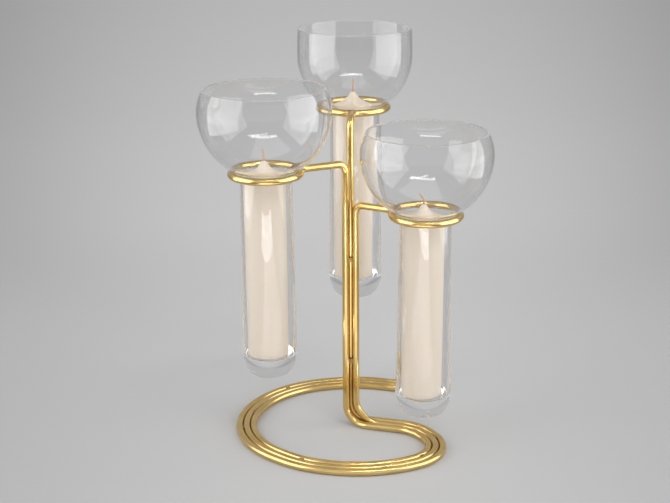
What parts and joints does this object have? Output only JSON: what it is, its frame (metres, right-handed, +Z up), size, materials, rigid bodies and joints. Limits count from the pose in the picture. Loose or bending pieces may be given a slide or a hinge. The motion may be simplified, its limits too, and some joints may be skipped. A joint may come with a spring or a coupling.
{
  "type": "candlestick",
  "caption": "Free-standing candlestick: brass rods form a flat loop, a stem and arms with rings, and each ring holds a tall blown-glass bowl and tube with a candle in it.",
  "frame": {"origin": "on the table, under the middle of the whole object's bounding box", "axes": "+Z up, +X to the object's right, +Y to its back, as seen in the picture"},
  "size_m": [0.2353, 0.2042, 0.3386],
  "materials": {
    "brass": "polished",
    "solder": "dull, as cast solder",
    "glass": "clear, blown",
    "wax": "ivory candle wax, satin",
    "wick": "braided cotton, singed"
  },
  "bodies": {
    "stand": {"rod_left": "brass", "rod_rear": "brass", "rod_right": "brass", "ring_solder_left": "solder", "ring_solder_rear": "solder", "ring_solder_right": "solder", "solder_tacks": "solder"},
    "glass_left": {"glass_left": "glass"},
    "glass_rear": {"glass_rear": "glass"},
    "glass_right": {"glass_right": "glass"},
    "candle_left": {"candle_left": "wax", "wick_left": "wick"},
    "candle_rear": {"candle_rear": "wax", "wick_rear": "wick"},
    "candle_right": {"candle_right": "wax", "wick_right": "wick"}
  },
  "joints": [
    {"name": "glass_left_lift", "type": "slide", "parent": "stand", "child": "glass_left", "axis": [0, 0, 1], "range_m": [0, 0.18]},
    {"name": "glass_rear_lift", "type": "slide", "parent": "stand", "child": "glass_rear", "axis": [0, 0, 1], "range_m": [0, 0.18]},
    {"name": "glass_right_lift", "type": "slide", "parent": "stand", "child": "glass_right", "axis": [0, 0, 1], "range_m": [0, 0.18]},
    {"name": "candle_left_lift", "type": "slide", "parent": "glass_left", "child": "candle_left", "axis": [0, 0, 1], "range_m": [0, 0.23]},
    {"name": "candle_rear_lift", "type": "slide", "parent": "glass_rear", "child": "candle_rear", "axis": [0, 0, 1], "range_m": [0, 0.23]},
    {"name": "candle_right_lift", "type": "slide", "parent": "glass_right", "child": "candle_right", "axis": [0, 0, 1], "range_m": [0, 0.23]}
  ]
}
